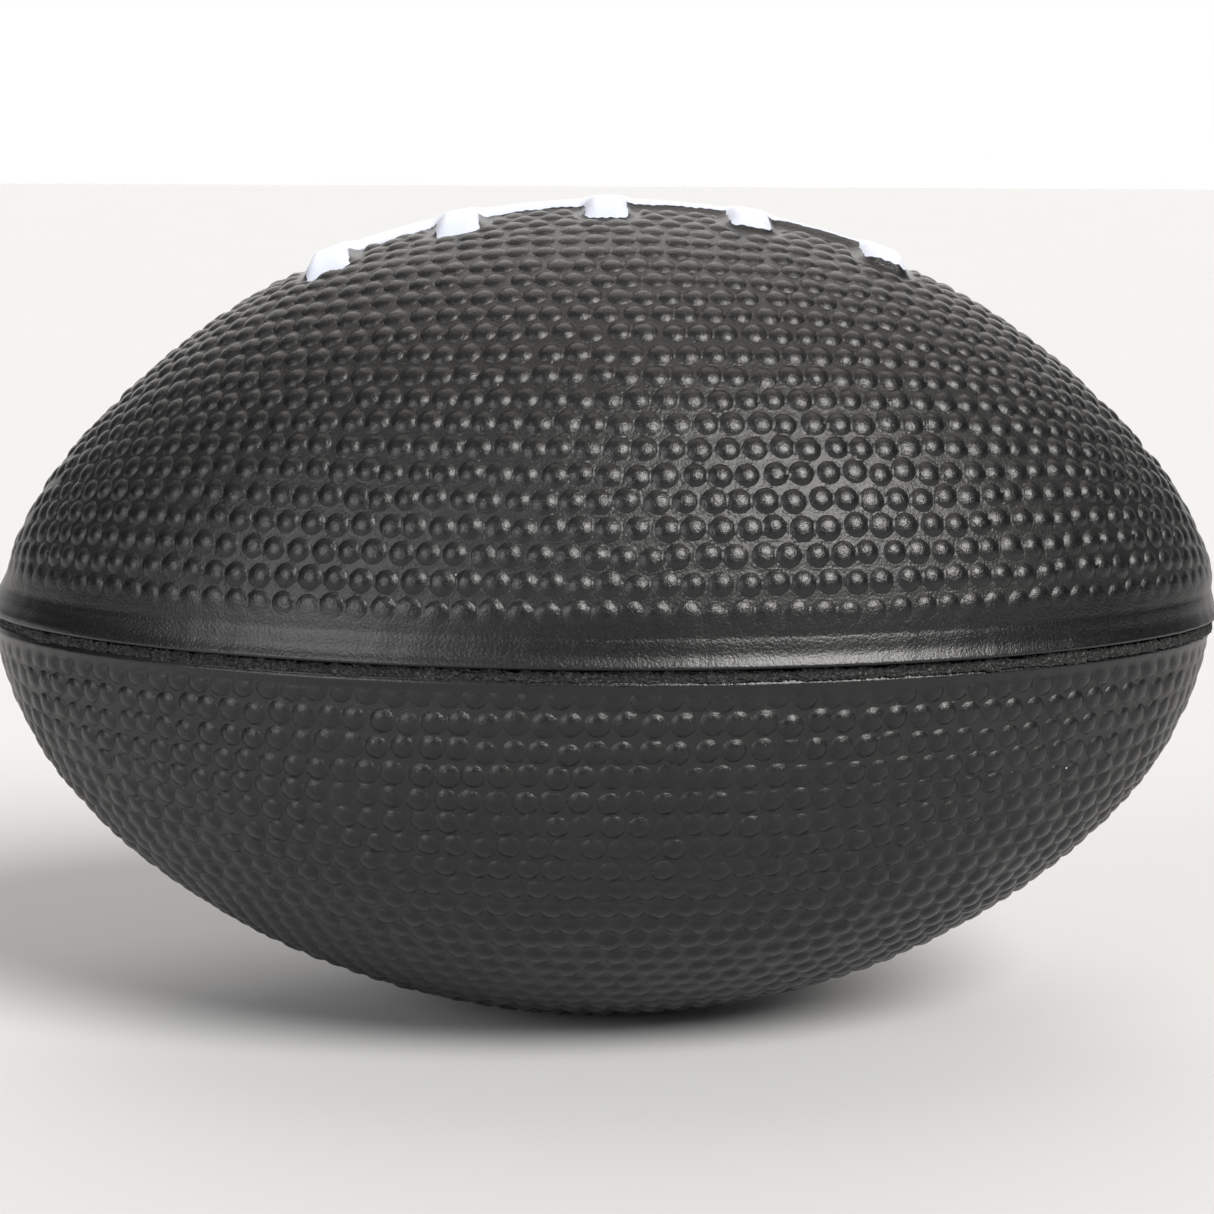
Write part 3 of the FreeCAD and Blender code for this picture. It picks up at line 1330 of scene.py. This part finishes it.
@dataclass(frozen=True)
class SoftLamp:
    """A large, distant, soft lamp, given by where it stands as seen from the ball."""

    name: str
    bearing: float
    elevation: float
    width: float
    strength: float
    colour: Colour = (1.0, 1.0, 1.0)

    def build(self) -> None:
        """Hangs the lamp; its bearing is measured from the viewer towards the right."""
        turn, lift = math.radians(self.bearing), math.radians(self.elevation)
        outward = Vector((math.sin(turn) * math.cos(lift), -math.cos(turn) * math.cos(lift), math.sin(lift)))
        lamp = bpy.data.lights.new(self.name, "SUN")
        lamp.angle = math.radians(self.width)
        lamp.energy = self.strength
        lamp.color = self.colour
        holder = bpy.data.objects.new(self.name, lamp)
        holder.location = outward
        holder.rotation_euler = outward.to_track_quat("Z", "Y").to_euler()
        bpy.context.scene.collection.objects.link(holder)


@dataclass
class Studio:
    """The floor, lamps, surroundings and camera. Lengths are in metres here."""

    form: BallForm
    camera_distance: float = 0.2558
    camera_elevation: float = 7.95
    camera_roll: float = 0.29
    lens: float = 103.8
    aim_right: float = 0.00012
    aim_up: float = 0.00109
    backdrop_light: float = 0.8
    backdrop_zone: Span = (0.5, 0.95)
    ceiling_light: float = 0.36
    ceiling_zone: Span = (0.3, 0.85)
    room_light: float = 0.03
    room_colour: Colour = (1.0, 0.99, 0.975)
    floor_size: float = 8.0
    lamps: tuple[SoftLamp, ...] = (
        SoftLamp("key_lamp", 38, 38, 30, 4.5, (1.0, 0.985, 0.96)),
        SoftLamp("fill_lamp", -46, 17, 34, 1.4, (0.97, 0.98, 1.0)),
        SoftLamp("top_lamp", 178, 64, 56, 0.85, (1.0, 0.93, 0.86)),
        SoftLamp("back_lamp", 180, 20, 60, 0.6, (1.0, 0.97, 0.95)),
    )

    def camera(self) -> None:
        """Sets up the camera at a low angle in front of the ball."""
        lift = math.radians(self.camera_elevation)
        seam = Vector((0, 0, self.form.parting * MM))
        data = bpy.data.cameras.new("camera")
        data.lens = self.lens
        data.sensor_width = 36.0
        data.clip_start = 0.01
        holder = bpy.data.objects.new("camera", data)
        holder.location = seam + Vector((0, -math.cos(lift), math.sin(lift))) * self.camera_distance
        aim = seam + Vector((self.aim_right, 0, self.aim_up))
        look = (holder.location - aim).to_track_quat("Z", "Y")
        holder.rotation_euler = look.to_euler()
        holder.rotation_euler.rotate_axis("Z", math.radians(self.camera_roll))
        bpy.context.scene.collection.objects.link(holder)
        bpy.context.scene.camera = holder

    def world(self) -> None:
        """A white backdrop behind the ball and a dim room in front of it."""
        world = bpy.data.worlds.new("studio")
        bpy.context.scene.world = world
        world.use_nodes = True
        world.node_tree.nodes.clear()
        wires = Wiring(world.node_tree)
        parts = wires.add("SeparateXYZ")
        wires.join(wires.add("TexCoord").outputs["Generated"], parts.inputs[0])
        dim = self.room_light / 2
        backdrop = wires.spread(parts.outputs["Y"], self.backdrop_zone, (dim, self.backdrop_light))
        ceiling = wires.spread(parts.outputs["Z"], self.ceiling_zone, (dim, self.ceiling_light))
        lighting = wires.add("Background")
        lighting.inputs["Color"].default_value = (*self.room_colour, 1.0)
        wires.join(wires.math("ADD", backdrop, ceiling), lighting.inputs["Strength"])
        white = wires.add("Background")
        white.inputs["Color"].default_value = (1.0, 1.0, 1.0, 1.0)
        seen = wires.add("LightPath").outputs["Is Camera Ray"]
        choice = wires.add("MixShader")
        for source, target in zip((seen, lighting.outputs[0], white.outputs[0]), choice.inputs):
            wires.join(source, target)
        wires.join(choice.outputs[0], wires.add("OutputWorld").inputs[0])
        bpy.context.scene.view_settings.view_transform = "Standard"

    def floor(self, finish: Material) -> None:
        """Lays the floor under the ball.

        Args:
            finish: Its material.
        """
        reach = self.floor_size / 2 / MM
        corners = reach * np.array([(-1, -1, 0), (1, -1, 0), (1, 1, 0), (-1, 1, 0)])
        piece = make_piece("floor", corners, np.array([[0, 1, 2, 3]]))
        piece.data.materials.append(finish)

    def build(self, finish: Material) -> None:
        """Builds the whole studio.

        Args:
            finish: The floor's material.
        """
        self.camera()
        self.world()
        self.floor(finish)
        for lamp in self.lamps:
            lamp.build()


def main() -> None:
    """Builds the ball and its studio."""
    logging.basicConfig(level=logging.INFO)
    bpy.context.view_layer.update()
    form = BallForm.from_frame()
    grain = PebbleGrain()
    relief = LaceRelief.from_frame(form)
    skin_finish = FoamSkinFinish(grain).material()
    upper, lower = MOULD_SHIFTS
    skins = (
        Skin(
            form, Half.UPPER, grain, relief, EdgeProfile(UPPER_EDGE), start=0.5, edge_zone=4.6, edge_rows=44,
            mould_shift=upper, shift_zone=(2.6, 4.2), fade_zone=(3.5, 5.6),
        ),
        Skin(
            form, Half.LOWER, grain, relief, EdgeProfile(LOWER_EDGE), start=0.0, edge_zone=1.0, edge_rows=14,
            mould_shift=lower, shift_zone=(-2.0, -1.0), fade_zone=(0.35, 1.4),
        ),
    )
    for skin in skins:
        skin.build(skin_finish)
    FlashStrip(form).build(CUT_FOAM.material())
    LacePaint(form, relief, grain.dome_height, upper).build(LacePaintFinish().material())
    FoamCore(form).build(CORE_FOAM.material())
    Studio(form).build(FloorFinish().material())


if __name__ == "__main__":
    main()
